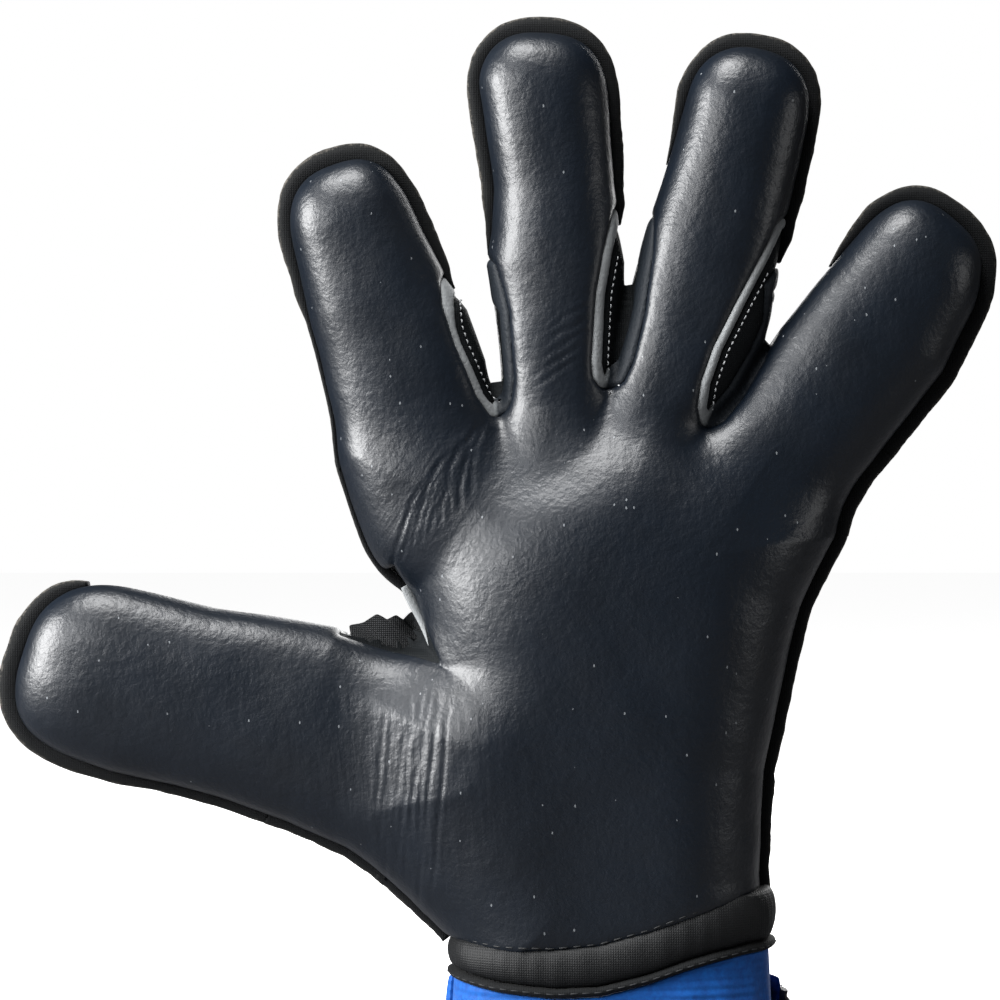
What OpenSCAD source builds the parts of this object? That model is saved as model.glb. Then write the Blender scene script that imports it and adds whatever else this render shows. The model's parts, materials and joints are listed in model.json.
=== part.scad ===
// Left-hand goalkeeper glove in its worn shape, palm towards -Y, fingers up, thumb towards -X.
// The origin is the centre of the cuff's mouth. All sizes are in millimetres.

/* [Part] */

// Which sub-part to draw, or all of them.

/* [Hand shell] */

// Depth of the filled palm, front to back.
palm_depth = 47; // [40:1:56]

// Depth of the hand where the fingers start.
knuckle_depth = 31; // [28:1:36]

// Depth of the hand at the wrist seam.
wrist_depth = 50; // [44:1:58]

// Thickness of the latex foam of the palm and fingers.
latex_wall = 5; // [3:0.5:7]

// Thickness of the knitted backhand and finger backs.
back_wall = 2.6; // [2:0.2:4]

// Thickness of the lining behind the palm and the backhand.
lining_wall = 1.2; // [0.8:0.1:2]

// Width of the dark edge trim, front to back.
trim_width = 5; // [4:0.5:6]

// How far the trim stands out past the latex.
trim_stand = 2.4; // [1:0.2:3.2]

/* [Cuff] */

// Width of the cuff's mouth.
cuff_width = 82; // [76:1:90]

// Width of the wrist at the heel seam.
wrist_width = 78; // [72:1:84]

// Thickness of the elastic wrist bandage.
bandage_wall = 2.4; // [1.6:0.2:4]

// Height of the padded band under the heel of the palm.
heel_band_height = 9; // [7:0.5:11]

// Height of the hem at the cuff's mouth.
hem_height = 4; // [3:0.5:6]

// Height of the closing strap.
strap_height = 30; // [22:1:34]

// Thickness of the closing strap.
strap_wall = 1.8; // [1.2:0.2:3]

/* [Finger sizes] */

// Depth of a finger stall, front to back.
finger_depth = 29; // [26:1:32]

// Depth of the thumb stall, front to back.
thumb_depth = 30; // [27:1:34]

// Free length of the index finger from its hinge.
index_length = 75.5; // [68:0.5:82]

// Free length of the middle finger from its hinge.
middle_length = 93; // [84:0.5:100]

// Free length of the ring finger from its hinge.
ring_length = 93.5; // [84:0.5:100]

// Free length of the little finger from its hinge.
little_length = 80.5; // [72:0.5:86]

// Free length of the thumb from its hinge.
thumb_length = 103.5; // [94:0.5:110]

/* [Finger flex] */

// Largest bend at the foot of a finger, in degrees.
base_flex = 45; // [35:5:50]

// Largest bend half way along a finger, in degrees.
tip_flex = 45; // [35:5:50]

// Largest bend at the foot and the middle of the thumb, in degrees.
thumb_flex = 45; // [30:5:50]

// Gap left between two neighbouring solids of one body.
fit_gap = 0.3; // [0.2:0.05:0.5]

/* [Hidden] */

// Depth of the hinge axes: a little in front of the middle, where the foam folds.
hinge_y = -4;

// Half the gap between two bodies that turn against each other.
joint_gap = 0.5;

// Front and back edge of the trim.
trim_y1 = -0.6;
trim_y2 = trim_y1 + trim_width;

// Roundness of a finger's section, of the palm's section and of a fingertip's outline.
finger_square = 2.4;
palm_square = 3;
tip_square = 2.6;

// One finger: name, hinge x, hinge z, lean to the right, length, half depth, place of the middle
// hinge, then rows of distance from the hinge, left edge and right edge, and the two bends.
index = ["index", -47.5, 168.7, -17, index_length, finger_depth / 2, 36,
    [[0, -17.6, 20], [20, -16.8, 20.2], [36, -16.2, 20.2], [60, -15.6, 18.4]],
    base_flex, tip_flex];
middle = ["middle", -13.2, 178.5, -1.5, middle_length, finger_depth / 2, 44,
    [[0, -13.2, 10.8], [21, -14.2, 13.6], [40, -16, 17.4], [63, -16.8, 18], [80, -18.2, 17.4]],
    base_flex, tip_flex];
ring = ["ring", 9.6, 176.4, 15, ring_length, finger_depth / 2, 44,
    [[0, -10.6, 11.4], [12, -10.2, 17.2], [22, -10.8, 20], [34, -11.2, 21.6], [60, -13, 21.8]],
    base_flex, tip_flex];
little = ["little", 37.2, 160.2, 37, little_length, finger_depth / 2, 37,
    [[0, -18.6, 20.4], [12, -17.2, 19.6], [24, -18, 19.8], [34, -19.4, 20], [50, -19.6, 20.8]],
    base_flex, tip_flex];
thumb = ["thumb", -45.1, 90, -75.5, thumb_length, thumb_depth / 2, 54,
    [[0, -26.4, 26.6], [12, -22.6, 26.4], [27, -20.6, 28.4], [50, -19.8, 26.2], [80, -19.6, 26.4]],
    thumb_flex, thumb_flex];

fingers = [index, middle, ring, little, thumb];
names = [for (f = fingers) f[0]];

// Colours.
latex_black = [0.07, 0.07, 0.09];
trim_black = [0.04, 0.04, 0.04];
knit_grey = [0.74, 0.74, 0.76];
piping_grey = [0.6, 0.61, 0.64];
lining_grey = [0.35, 0.36, 0.4];
strap_blue = [0.02, 0.2, 0.62];

function mix(a, b, t) = a + (b - a) * t;
function steps(a, b, n) = [for (i = [0:n]) mix(a, b, i / n)];
function power(v, n) = sign(v) * pow(abs(v), 2 / n);

// Edges of a finger at distance s: mirrored to half width and centre shift.
function edge(f, s, side) = lookup(s, [for (r = f[7]) [r[0], r[side]]]);
function half_width(f, s) = (edge(f, s, 2) - edge(f, s, 1)) / 2;
function shift(f, s) = (edge(f, s, 2) + edge(f, s, 1)) / 2;

// A point of a finger: s along it, u across it towards the little finger's side, y in depth.
function place(f, s, u, y) = [
    f[1] + s * sin(f[3]) + u * cos(f[3]),
    y,
    f[2] + s * cos(f[3]) - u * sin(f[3])];

// How far a solid stays back from a hinge at depth y, so that it can close by the angle.
function relief(y, flex) = joint_gap + max(0, hinge_y - y) * tan(flex / 2);

// Narrowing of a fingertip of length run at distance s from the hinge, for an end at s = last.
function taper(s, last, run) =
    s < last - run ? 1 : pow(max(0, 1 - pow((s - last + run) / run, tip_square)), 1 / tip_square);

// A plate between two grids of points with the same number of rows and columns.
module slab(outer, inner) {
    rows = len(outer);
    cols = len(outer[0]);
    points = [for (g = [outer, inner]) for (row = g) for (p = row) p];
    function at(side, r, c) = (side * rows + r) * cols + c;
    function quad(a, b, c, d) = [[a, b, c], [a, c, d]];
    faces = [
        for (r = [0:rows - 2])
            for (c = [0:cols - 2])
                each concat(
                    quad(at(0, r, c), at(0, r + 1, c), at(0, r + 1, c + 1), at(0, r, c + 1)),
                    quad(at(1, r, c), at(1, r, c + 1), at(1, r + 1, c + 1), at(1, r + 1, c))),
        for (r = [0:rows - 2])
            each concat(
                quad(at(0, r + 1, 0), at(0, r, 0), at(1, r, 0), at(1, r + 1, 0)),
                quad(at(0, r, cols - 1), at(0, r + 1, cols - 1), at(1, r + 1, cols - 1),
                    at(1, r, cols - 1))),
        for (c = [0:cols - 2])
            each concat(
                quad(at(0, 0, c), at(0, 0, c + 1), at(1, 0, c + 1), at(1, 0, c)),
                quad(at(0, rows - 1, c + 1), at(0, rows - 1, c), at(1, rows - 1, c),
                    at(1, rows - 1, c + 1)))];
    polyhedron(points, faces);
}

// Grid over a finger's base length: k runs from its foot to its middle hinge.
function base_grid(f, turns, off, ks) = [
    for (k = ks)
        [for (a = turns)
            let (
                y = -(f[5] + off) * power(cos(a), finger_square),
                s = mix(relief(y, f[8]), f[6] - relief(y, f[9]), k),
                u = shift(f, s) + (half_width(f, s) - trim_stand + off) * power(sin(a), finger_square))
            place(f, s, u, y)]];

// Grid over a fingertip: k runs from the middle hinge to the end, which closes on the trim's edge.
function tip_grid(f, turns, off, ks) =
    let (
        last = f[4] - trim_stand + off,
        rim = cos(turns[0] + 10) > 0 ? trim_y1 - fit_gap : trim_y2 + fit_gap)
    [for (k = ks)
        [for (a = turns)
            let (
                y0 = -(f[5] + off) * power(cos(a), finger_square),
                s = mix(f[6] + relief(y0, f[9]), last, k),
                w = (half_width(f, s) - trim_stand + off) * max(0.03, taper(s, last, f[5] * 1.3)))
            place(f, s, shift(f, s) + w * power(sin(a), finger_square),
                rim + (y0 - rim) * max(0.03, taper(s, last, f[5] * 1.6)))]];

// Outline of a finger's edge: up its left side, over the end and down its right side.
function tip_outline(f, off) =
    let (
        last = f[4] + off,
        first = f[6] + joint_gap,
        ks = [0, 0.3, 0.5, 0.65, 0.76, 0.85, 0.92, 0.97, 0.995],
        up = [for (k = ks)
            let (s = mix(first, last, k))
            [s, shift(f, s) - (half_width(f, s) + off) * taper(s, last, f[5] * 1.3)]],
        down = [for (i = [len(ks) - 1:-1:0])
            let (s = mix(first, last, ks[i]))
            [s, shift(f, s) + (half_width(f, s) + off) * taper(s, last, f[5] * 1.3)]])
    concat(up, down);

// Outline of one side of a finger's base length.
function side_outline(f, side, off) = [
    for (k = side < 0 ? [0, 0.25, 0.5, 0.75, 1] : [1, 0.75, 0.5, 0.25, 0])
        let (s = mix(joint_gap, f[6] - joint_gap, k))
        [s, shift(f, s) + side * (half_width(f, s) + off)]];

// A strip that follows an outline, from the back edge of the trim to its front edge.
function strip_grid(f, outline) = [
    for (p = outline)
        [place(f, p[0], p[1], trim_y2), place(f, p[0], p[1], mix(trim_y1, trim_y2, 0.5)),
         place(f, p[0], p[1], trim_y1)]];

module base_latex(f) {
    color(latex_black)
    slab(base_grid(f, front_turns, 0, base_rows),
        base_grid(f, front_turns, -latex_wall, base_rows));
}

module base_back(f) {
    color(knit_grey)
    slab(base_grid(f, back_turns, 0, base_rows), base_grid(f, back_turns, -back_wall, base_rows));
}

module gusset(f, side, tint) {
    color(tint)
    slab(strip_grid(f, side_outline(f, side, -0.4)), strip_grid(f, side_outline(f, side, -3.4)));
}

module tip_latex(f) {
    color(latex_black)
    slab(tip_grid(f, front_turns, 0, tip_rows),
        tip_grid(f, front_turns, -latex_wall, tip_rows));
}

module tip_back(f) {
    color(knit_grey)
    slab(tip_grid(f, back_turns, 0, tip_rows), tip_grid(f, back_turns, -back_wall, tip_rows));
}

module tip_binding(f) {
    color(trim_black)
    slab(strip_grid(f, tip_outline(f, 0)), strip_grid(f, tip_outline(f, -3)));
}

// Left edge of the hand by height: the heel, the root of the thumb, the web and the index side.
left_edge = [[51, -40.4], [56, -45], [64, -50.4], [116, -37.4], [125, -44], [137, -51],
    [146, -57], [157, -62.5], [163.2, -65]];

// Right edge of the hand by height.
right_edge = [[51, 38.2], [66, 36.6], [83, 37.2], [94, 39.6], [104, 41.6], [114, 43.8], [127, 46.8],
    [137, 50.2], [147.4, 54]];

// Line of the finger hinges across the hand.
knuckle_line = [[-65, 163.4], [-28.2, 174.5], [-26, 178], [-1.5, 178.7], [20.8, 173.2],
    [54, 147.6]];

// Where the left edge is open for the thumb, by height.
thumb_window = [[56, 0], [62, 1], [117, 1], [124, 0]];

// How far the heel seam dips in front, by share across.
heel_dip = [[0, 0], [0.15, 2.6], [0.3, 4.8], [0.44, 5.4], [0.6, 4], [0.72, 1.9], [0.85, 0.5], [1, 0]];

// Share across the wrist at turn a around it.
function across(a) = (1 + power(sin(a), palm_square)) / 2;

// Height of the heel seam at turn a around the wrist: it rises to the right and dips in front.
function heel_seam(a) = mix(52, 63, across(a)) - (cos(a) > 0 ? lookup(across(a), heel_dip) : 0);

// Height of the padded band under the seam, which widens to the right.
function heel_drop(a) = heel_band_height * mix(0.7, 1.15, across(a));

function half_depth(b) = lookup(b, [[0, wrist_depth], [0.45, palm_depth],
    [0.8, mix(palm_depth, knuckle_depth, 0.6)], [1, knuckle_depth]]) / 2;

// A point of the hand shell: share k across it, share b up from the heel seam. The front runs
// left to right, the back right to left. Both stop short of the root of the thumb.
function shell_point(k, b, off, front, inset) =
    let (
        height = mix(51, 163.2, b),
        open = lookup(height, thumb_window),
        turn = front ? mix(-89 + inset + 27 * open, 89 - inset, k)
            : mix(102 + inset, 258 - inset - 24 * open, k),
        share = (1 + power(sin(turn), palm_square)) / 2,
        y = -(half_depth(b) + off) * power(cos(turn), palm_square),
        left = lookup(height, left_edge) - off * (1 - open) + open * relief(y, thumb_flex),
        right = lookup(mix(62, 147.4, b), right_edge) + off,
        low = heel_seam(turn) + 0.2,
        high = lookup(mix(-65, 54, share), knuckle_line) - 1.2 * relief(y, base_flex))
    [mix(left, right, share), y, mix(low, high, b)];

function shell_grid(ks, bs, off, front, inset) =
    [for (b = bs) [for (k = ks) shell_point(k, b, off, front, inset)]];

// A strip along one edge of the hand, between two heights and two depths.
function edge_grid(side, z1, z2, off, y1, y2) = [
    for (z = side < 0 ? steps(z1, z2, 7) : steps(z2, z1, 7))
        let (x = lookup(z, side < 0 ? left_edge : right_edge) + side * off)
        [[x, y2, z], [x, (y1 + y2) / 2, z], [x, y1, z]]];

// A point of the cuff at turn a around it and height z.
function cuff_point(a, z, off) = [
    -0.9 + (lookup(z, [[0, cuff_width], [50, wrist_width]]) / 2 + off) * power(sin(a), palm_square),
    -(wrist_depth / 2 + lookup(z, [[0, 1.5], [50, 0]]) + off) * power(cos(a), palm_square),
    z];

// Grid over part of the cuff: heights run from low to high, both given for each turn.
function cuff_grid(turns, low, high, off) = [
    for (t = [0, 0.5, 1])
        [for (i = [0:len(turns) - 1]) cuff_point(turns[i], mix(low[i], high[i], t), off)]];

// A plate of the cuff between two constant heights.
module cuff_plate(turns, z1, z2, off, wall) {
    low = [for (a = turns) z1];
    high = [for (a = turns) z2];
    slab(cuff_grid(turns, low, high, off), cuff_grid(turns, low, high, off - wall));
}

shell_rows = [0, 0.05, 0.1, 0.2, 0.32, 0.44, 0.56, 0.62, 0.68, 0.76, 0.84, 0.92, 1];
front_turns = steps(-88, 88, 14);
back_turns = steps(109, 251, 10);
heel_turns = steps(-88, 88, 20);
base_rows = [0, 0.35, 0.7, 1];
tip_rows = [0, 0.25, 0.45, 0.6, 0.72, 0.82, 0.9, 0.95, 0.985, 1];
binding_drop = 2.6;

module palm_latex() {
    color(latex_black)
    slab(shell_grid(steps(0, 1, 18), shell_rows, -trim_stand, true, 0),
        shell_grid(steps(0, 1, 18), shell_rows, -trim_stand - latex_wall, true, 0));
}

module palm_lining() {
    depth = trim_stand + latex_wall + fit_gap;
    color(lining_grey)
    slab(shell_grid(steps(0, 1, 12), steps(0.03, 0.96, 9), -depth, true, 9),
        shell_grid(steps(0, 1, 12), steps(0.03, 0.96, 9), -depth - lining_wall, true, 9));
}

module backhand_panel() {
    color(knit_grey)
    slab(shell_grid(steps(0, 1, 16), shell_rows, -trim_stand, false, 0),
        shell_grid(steps(0, 1, 16), shell_rows, -trim_stand - back_wall, false, 0));
}

module backhand_lining() {
    depth = trim_stand + back_wall + fit_gap;
    color(lining_grey)
    slab(shell_grid(steps(0, 1, 12), steps(0.03, 0.97, 9), -depth, false, 6),
        shell_grid(steps(0, 1, 12), steps(0.03, 0.97, 9), -depth - lining_wall, false, 6));
}

module edge_strip(side, z1, z2, off, wall, y1, y2) {
    slab(edge_grid(side, z1, z2, off, y1, y2), edge_grid(side, z1, z2, off - wall, y1, y2));
}

module ulnar_side_trim() {
    color(trim_black)
    edge_strip(1, 63.4, 146.2, 0, 3, trim_y1, trim_y2);
}

module radial_side_trim() {
    color(trim_black)
    edge_strip(-1, 119, 162.2, 0, 3, trim_y1, trim_y2);
}

module thumb_heel_trim() {
    color(trim_black)
    edge_strip(-1, 52.4, 61, 0, 3, trim_y1, trim_y2);
}

// Straight pale piping on the index side of the thumb web.
module thumb_web_piping() {
    color(piping_grey)
    edge_strip(-1, 119, 136, -0.1, 1.9, trim_y1 - 2.4, trim_y1 - fit_gap);
}

// Pleated mesh that fills the crook between the thumb and the index side.
module thumb_web_mesh() {
    color(trim_black)
    translate([0, trim_y2, 0])
    rotate([90, 0, 0])
    linear_extrude(trim_width)
    polygon([[-40.6, 118.6], [-44.7, 125.2], [-46.9, 129], [-49.4, 127], [-51.8, 129.4], [-54.2, 126.6],
        [-57.4, 128.6], [-59.4, 125.8], [-62.6, 126.6], [-57.6, 123], [-50.1, 120]]);
}

// Small wedge of fabric between the feet of two fingers, from distance s1 to distance s2.
module finger_web(left, right, s1, s2) {
    function corner(f, s, side, out) = let (p = place(f, s, edge(f, s, side) + out, 0)) [p[0], p[2]];
    color(trim_black)
    translate([0, trim_y2 + 2, 0])
    rotate([90, 0, 0])
    linear_extrude(trim_width + 2)
    polygon([corner(left, s1, 2, 0.6), corner(left, s2, 2, 0.6), corner(right, s2, 1, -0.6),
        corner(right, s1, 1, -0.6)]);
}

// Padded band sewn under the heel of the palm.
module wrist_heel_band() {
    high = [for (a = heel_turns) heel_seam(a) - fit_gap];
    low = [for (a = heel_turns) heel_seam(a) - fit_gap - heel_drop(a)];
    color(trim_black)
    slab(cuff_grid(heel_turns, low, high, 0.4), cuff_grid(heel_turns, low, high, -4.6));
}

// Narrow binding along the lower edge of the heel band.
module heel_binding() {
    high = [for (a = heel_turns) heel_seam(a) - heel_drop(a) - 2 * fit_gap];
    low = [for (h = high) h - binding_drop + fit_gap];
    color(trim_black)
    slab(cuff_grid(heel_turns, low, high, 0.9), cuff_grid(heel_turns, low, high, -3.4));
}

// Elastic bandage round the wrist, open in a slit at the back under the strap.
module cuff_bandage() {
    turns = steps(-176, 176, 44);
    low = [for (a = turns) hem_height + fit_gap];
    high = [for (a = turns) heel_seam(a) - fit_gap
        - (heel_drop(a) + binding_drop + 2 * fit_gap) * lookup(abs(a), [[90, 1], [100, 0]])];
    color(strap_blue)
    slab(cuff_grid(turns, low, high, -0.8), cuff_grid(turns, low, high, -0.8 - bandage_wall));
}

module cuff_hem() {
    color(trim_black)
    cuff_plate(steps(-176, 176, 32), 0, hem_height, 0, 4);
}

strap_low = 10;

// Fleece patch on the back of the cuff, which the strap's hooks hold.
module cuff_loop_patch() {
    color(trim_black)
    cuff_plate(steps(104, 172, 8), strap_low + 1, strap_low + strap_height - 1, 0.3, 0.8);
}

// Stitched root of the strap on the thumb side.
module strap_anchor() {
    color(strap_blue)
    cuff_plate(steps(237, 252, 3), strap_low, strap_low + strap_height, 3, 3.5);
}

module strap_band() {
    color(strap_blue)
    cuff_plate(steps(100, 233, 16), strap_low, strap_low + strap_height, 2 + strap_wall, strap_wall);
}

module strap_hook_patch() {
    color(trim_black)
    cuff_plate(steps(106, 150, 6), strap_low + 2, strap_low + strap_height - 2, 1.7, 0.9);
}

// Moulded grip at the strap's free end.
module strap_pull_tab() {
    color(lining_grey)
    cuff_plate(steps(91, 98.5, 2), strap_low + 2, strap_low + strap_height - 2, 4.4, 2.8);
}

module base_latex(f) {
    color(latex_black)
    slab(base_grid(f, front_turns, 0, base_rows),
        base_grid(f, front_turns, -latex_wall, base_rows));
}

module base_back(f) {
    color(knit_grey)
    slab(base_grid(f, back_turns, 0, base_rows), base_grid(f, back_turns, -back_wall, base_rows));
}

module gusset(f, side, tint) {
    color(tint)
    slab(strip_grid(f, side_outline(f, side, -0.4)), strip_grid(f, side_outline(f, side, -3.4)));
}

module tip_latex(f) {
    color(latex_black)
    slab(tip_grid(f, front_turns, 0, tip_rows),
        tip_grid(f, front_turns, -latex_wall, tip_rows));
}

module tip_back(f) {
    color(knit_grey)
    slab(tip_grid(f, back_turns, 0, tip_rows), tip_grid(f, back_turns, -back_wall, tip_rows));
}

module tip_binding(f) {
    color(trim_black)
    slab(strip_grid(f, tip_outline(f, 0)), strip_grid(f, tip_outline(f, -3)));
}

palm_latex();
palm_lining();
backhand_panel();
backhand_lining();
ulnar_side_trim();
radial_side_trim();
thumb_heel_trim();
thumb_web_mesh();
thumb_web_piping();
finger_web(index, middle, 1, 12);  // web_index_middle
finger_web(middle, ring, 3, 18);  // web_middle_ring
finger_web(ring, little, 4, 20);  // web_ring_little
wrist_heel_band();
heel_binding();
cuff_bandage();
cuff_hem();
cuff_loop_patch();
strap_anchor();
strap_band();
strap_hook_patch();
strap_pull_tab();
for (f = fingers) {
    base_latex(f);
    base_back(f);
    gusset(f, -1, trim_black);
    gusset(f, 1, piping_grey);
    tip_latex(f);
    tip_back(f);
    tip_binding(f);
}
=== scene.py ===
import json
import math

import bpy
import numpy as np
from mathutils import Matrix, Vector

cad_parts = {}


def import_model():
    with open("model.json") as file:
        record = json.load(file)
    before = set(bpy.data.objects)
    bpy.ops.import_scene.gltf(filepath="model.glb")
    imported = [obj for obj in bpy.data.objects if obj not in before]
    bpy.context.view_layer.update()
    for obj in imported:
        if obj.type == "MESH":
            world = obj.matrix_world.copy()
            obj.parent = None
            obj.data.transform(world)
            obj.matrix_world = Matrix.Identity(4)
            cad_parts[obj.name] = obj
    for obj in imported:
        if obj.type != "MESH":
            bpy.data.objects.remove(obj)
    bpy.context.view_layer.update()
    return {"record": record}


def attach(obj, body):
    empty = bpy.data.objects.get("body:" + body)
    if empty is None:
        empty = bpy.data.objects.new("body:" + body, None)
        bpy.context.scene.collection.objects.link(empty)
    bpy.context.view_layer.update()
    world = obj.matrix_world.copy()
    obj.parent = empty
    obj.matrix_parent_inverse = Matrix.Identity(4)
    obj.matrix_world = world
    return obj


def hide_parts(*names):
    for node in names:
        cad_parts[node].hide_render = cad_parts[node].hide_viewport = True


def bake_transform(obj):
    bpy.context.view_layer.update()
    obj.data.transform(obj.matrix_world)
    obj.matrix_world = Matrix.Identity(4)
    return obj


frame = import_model()
MM = 0.001

JOINTS = {j["name"]: j for j in frame["record"]["behaviour"]["joints"]}

# ---------------------------------------------------------------- hand shape
# Each finger: rows of distance from its hinge, left and right outline; the seams
# of its latex on the palm side; its end; the length of its round tip.
SHAPES = {
    "index": dict(
        rows=[(-30, -18, 19), (0, -17, 21.4), (8, -16.6, 22.3), (15, -16.2, 23.2), (28, -15.4, 22.4), (36, -15.2, 19.4), (48, -14.4, 17.4), (62, -13.6, 15.6)],
        left=None, right=[(-3, 22), (0, 20.8), (7, 18.2), (20, 16.8), (30, 16.8), (36, 18.4), (42, 24)],
        end=70.6, run=17, split=22, skew=0.04),
    "middle": dict(
        rows=[(-30, -13, 12), (0, -13.6, 13.6), (10, -14, 15.6), (22, -14.8, 16.6), (34, -16.2, 17.6), (42, -14.8, 16.4), (52, -14.2, 15), (66, -15.8, 14.4), (78, -17.2, 14)],
        left=[(-5, -16), (-3, -14.4), (1, -12), (6, -11), (22, -11.6), (34, -14.9), (42, -20)],
        right=[(0, 13.4), (3, 11.2), (6, 8.8), (10, 8.4), (26, 9.8), (36, 12), (46, 15), (53, 20)],
        end=89.5, run=16, split=26, skew=-0.04),
    "ring": dict(
        rows=[(-30, -12, 13), (0, -13.4, 13.6), (10, -13.4, 19), (23, -13.2, 21.4), (34, -13.4, 21.6), (44, -13.3, 20), (54, -12.4, 18.8), (66, -12, 18.4), (80, -12, 17.6)],
        left=[(-1, -14.4), (2.6, -12.4), (5.5, -9.6), (10.6, -8.6), (23, -9), (37, -10.9), (46, -13.2), (53, -19)],
        right=[(-3, 13.6), (-0.6, 12.2), (4, 9.6), (10, 8.7), (18.5, 9.4), (29.5, 11.8), (41, 14.7), (51, 17), (58, 22)],
        end=91, run=17, split=26, skew=0.03),
    "little": dict(
        rows=[(-30, -18, 17), (0, -19.6, 17.6), (6, -19.3, 17), (15, -19.3, 16.8), (31, -20.2, 17.2), (46, -19.6, 17.6), (58, -18.8, 15.2), (70, -18.2, 13)],
        left=[(-4, -22.4), (0.4, -20.2), (5, -18), (12, -17.9), (22, -19), (30, -21), (37, -26)],
        right=None, end=77.5, run=17, split=23, skew=-0.05),
    "thumb": dict(
        rows=[(-36, -24, 22), (-8, -26.6, 24), (0, -25, 27), (14, -21.2, 27.2), (29, -18.8, 29.4), (45, -17.5, 28), (58, -17.2, 26.8), (73, -17.8, 26.6), (90, -16.6, 26)],
        left=None, right=None, end=100.9, run=22, split=34, skew=-0.08),
}
DEPTHS = {
    "index": [(-20, 16.2), (0, 14.6), (36, 14), (75, 12.6)],
    "middle": [(-20, 16.2), (0, 14.6), (44, 14), (90, 12.8)],
    "ring": [(-20, 16.2), (0, 14.6), (44, 14), (90, 12.8)],
    "little": [(-20, 16.2), (0, 14.6), (37, 14), (80, 12.6)],
    "thumb": [(-30, 18), (0, 15.8), (54, 14.8), (100, 13)],
}
FOOT = {"index": 1.0, "middle": 2.0, "ring": 2.0, "little": 1.0, "thumb": 3.0}
REACH = {"index": 17, "middle": 18, "ring": 18, "little": 17, "thumb": 20}

# Outline of the palm in the plane of the hand, in millimetres.
PALM = np.array([
    (-36.2, 36), (-36.9, 51.5), (-40.8, 61.5), (-44, 70), (-52, 84), (-51, 105), (-41, 117),
    (-46.4, 136.4), (-51.2, 149.2), (-56.8, 158.4), (-59.6, 165.8), (-45, 171), (-27.5, 173), (-21, 175),
    (-2, 177.5), (10, 176), (21, 170), (35, 164), (46.8, 152), (49.2, 147), (47.8, 142), (43.6, 131),
    (40.2, 115.7), (37.8, 103.7), (35.4, 91.9), (34.4, 79), (34, 67), (35, 56), (36.6, 36)])
ROUND = 26.0
POWER = 2.5


def table(rows, s, col=1):
    a = np.array(rows, float)
    return np.interp(s, a[:, 0], a[:, col])


def local(name, x, z):
    """Distance along a finger from its hinge, and distance across it."""
    j = JOINTS[name + "_foot"]
    cx, cz = j["pos_m"][0] * 1000, j["pos_m"][2] * 1000
    ex, ez = j["axis"][0], j["axis"][2]
    return -(x - cx) * ez + (z - cz) * ex, (x - cx) * ex + (z - cz) * ez


def world(name, s, u, y=0.0):
    j = JOINTS[name + "_foot"]
    cx, cz = j["pos_m"][0] * 1000, j["pos_m"][2] * 1000
    ex, ez = j["axis"][0], j["axis"][2]
    s, u, y = np.broadcast_arrays(np.asarray(s, float), u, y)
    return np.stack([cx - s * ez + u * ex, y, cz + s * ex + u * ez], -1)


def polygon_distance(x, z, poly):
    """Signed distance to a closed outline, negative inside."""
    best = np.full(np.shape(x), 1e9)
    inside = np.zeros(np.shape(x), bool)
    for (x1, z1), (x2, z2) in zip(poly, np.roll(poly, -1, 0)):
        dx, dz = x2 - x1, z2 - z1
        t = np.clip(((x - x1) * dx + (z - z1) * dz) / (dx * dx + dz * dz), 0, 1)
        best = np.minimum(best, (x - x1 - t * dx) ** 2 + (z - z1 - t * dz) ** 2)
        cross = ((z1 > z) != (z2 > z)) & (x < x1 + (z - z1) / (dz if dz else 1e-9) * dx)
        inside ^= cross
    d = np.sqrt(best)
    return np.where(inside, -d, d)


def smin(a, b, k):
    h = np.clip(0.5 + 0.5 * (b - a) / k, 0, 1)
    return b * (1 - h) + a * h - k * h * (1 - h)


def bump(x, z, cx, cz, r):
    return np.exp(-((x - cx) ** 2 + (z - cz) ** 2) / (r * r))


def flat_terms(x, z):
    """What the shape of the hand needs at a point of its plane."""
    sd = polygon_distance(x, z, PALM)
    depth = np.interp(z, [36, 60, 100, 135, 160, 180], [24.6, 23.4, 21.6, 18.6, 16.0, 14.6])
    front = depth + 1.6 * bump(x, z, -46, 88, 26) + 1.0 * bump(x, z, 24, 78, 24) - 2.2 * bump(x, z, 2, 122, 24)
    ramp = 0.62 * (x + 15) - 0.78 * (z - 160)
    front = front + 8.0 / (1 + np.exp(-ramp / 4.6)) * bump(x, z, -3, 138, 48) + 1.2 * bump(x, z, 2, 122, 24)
    front = front + 0.9 * bump(x, z, -30, 158, 14) + 0.7 * bump(x, z, 26, 156, 16)
    out = {"palm": (np.clip(1 + sd / ROUND, 0, None) ** POWER, front, depth)}
    for name, f in SHAPES.items():
        s, u = local(name, x, z)
        lo, hi = table(f["rows"], s, 1), table(f["rows"], s, 2)
        w, c = (hi - lo) / 2, (hi + lo) / 2
        q = np.clip((s - f["skew"] * (u - c) - f["end"] + f["run"]) / f["run"], 0, None)
        p = np.clip((-14 - s) / 18, 0, None)
        out[name] = ((np.abs(u - c) / w) ** POWER + q**POWER + p**POWER, table(DEPTHS[name], s), w)
    return out


def parts_at(terms, y):
    """The separate fields of the palm and the fingers, in about millimetres."""
    a, front, back = terms["palm"]
    d = np.where(y < 0, front, back)
    fields = {"palm": ((a + (np.abs(y) / d) ** POWER) ** (1 / POWER) - 1) * np.minimum(ROUND, d)}
    for name in SHAPES:
        a, h, w = terms[name]
        fields[name] = ((a + (np.abs(y) / h) ** POWER) ** (1 / POWER) - 1) * np.minimum(h, w)
    return fields


def whole(fields):
    total = None
    for name in SHAPES:
        f = smin(fields["palm"], fields[name], {"thumb": 16.0, "little": 10.0, "index": 9.0}.get(name, 7.0))
        total = f if total is None else smin(total, f, 1.6)
    return total


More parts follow.
